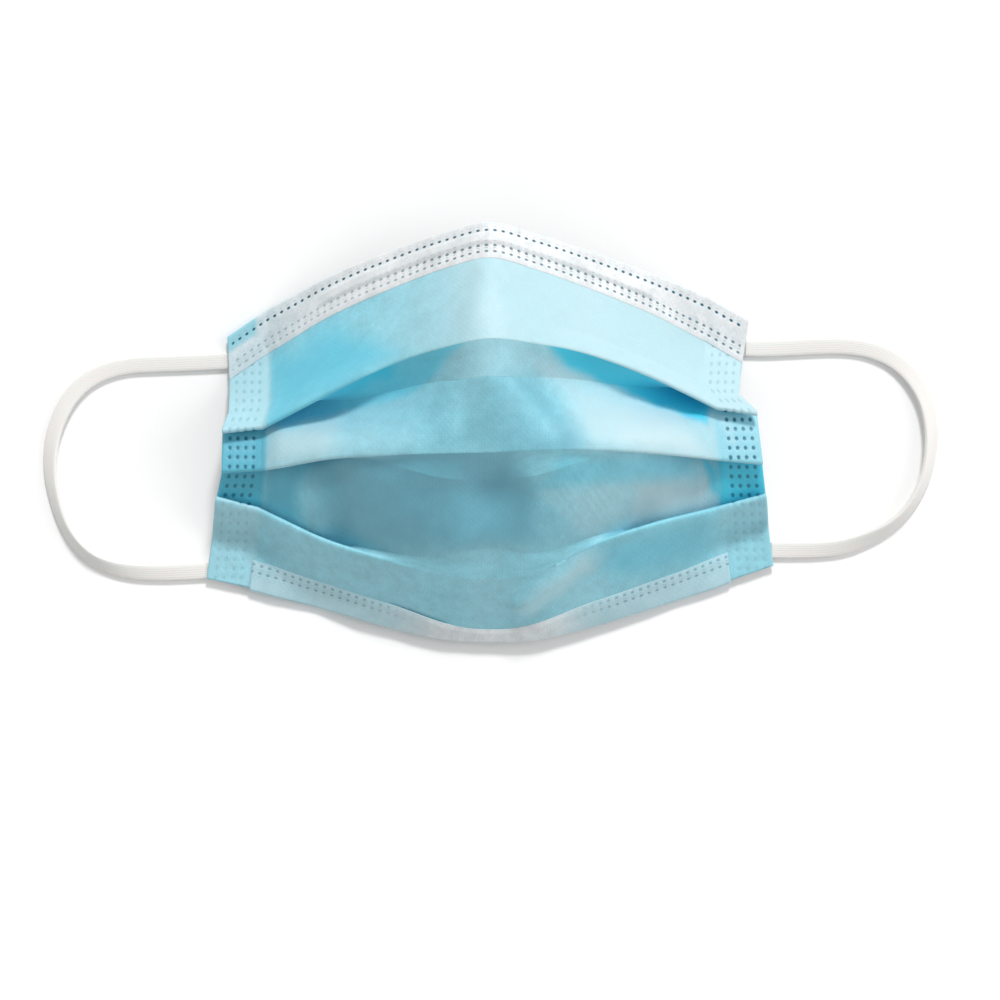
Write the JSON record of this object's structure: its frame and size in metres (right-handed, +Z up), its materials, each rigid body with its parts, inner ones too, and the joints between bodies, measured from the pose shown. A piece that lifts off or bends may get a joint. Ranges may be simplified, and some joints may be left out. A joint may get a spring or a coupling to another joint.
{
  "type": "surgical face mask",
  "caption": "Disposable pleated surgical face mask, opened out and lying face up: blue cloth with three pleats, white edge strips, nose wire and two flat elastic ear loops.",
  "frame": {"origin": "on the table, under the middle of the mask without its ear loops", "axes": "+X across the mask to its right as seen from the front, +Y towards the nose edge, +Z up from the table, out of the mask's front"},
  "size_m": [0.2716, 0.1287, 0.0501],
  "materials": {
    "cloth": "matte",
    "band": "matte",
    "wire": "matte",
    "elastic": "matte"
  },
  "bodies": {
    "root": {"pleated_panel": "cloth", "nose_band": "band", "nose_wire": "wire", "chin_band": "band", "ear_loop_left": "elastic", "ear_loop_right": "elastic", "loop_tab_left_top": "elastic", "loop_tab_left_bottom": "elastic", "loop_tab_right_top": "elastic", "loop_tab_right_bottom": "elastic"}
  },
  "joints": []
}
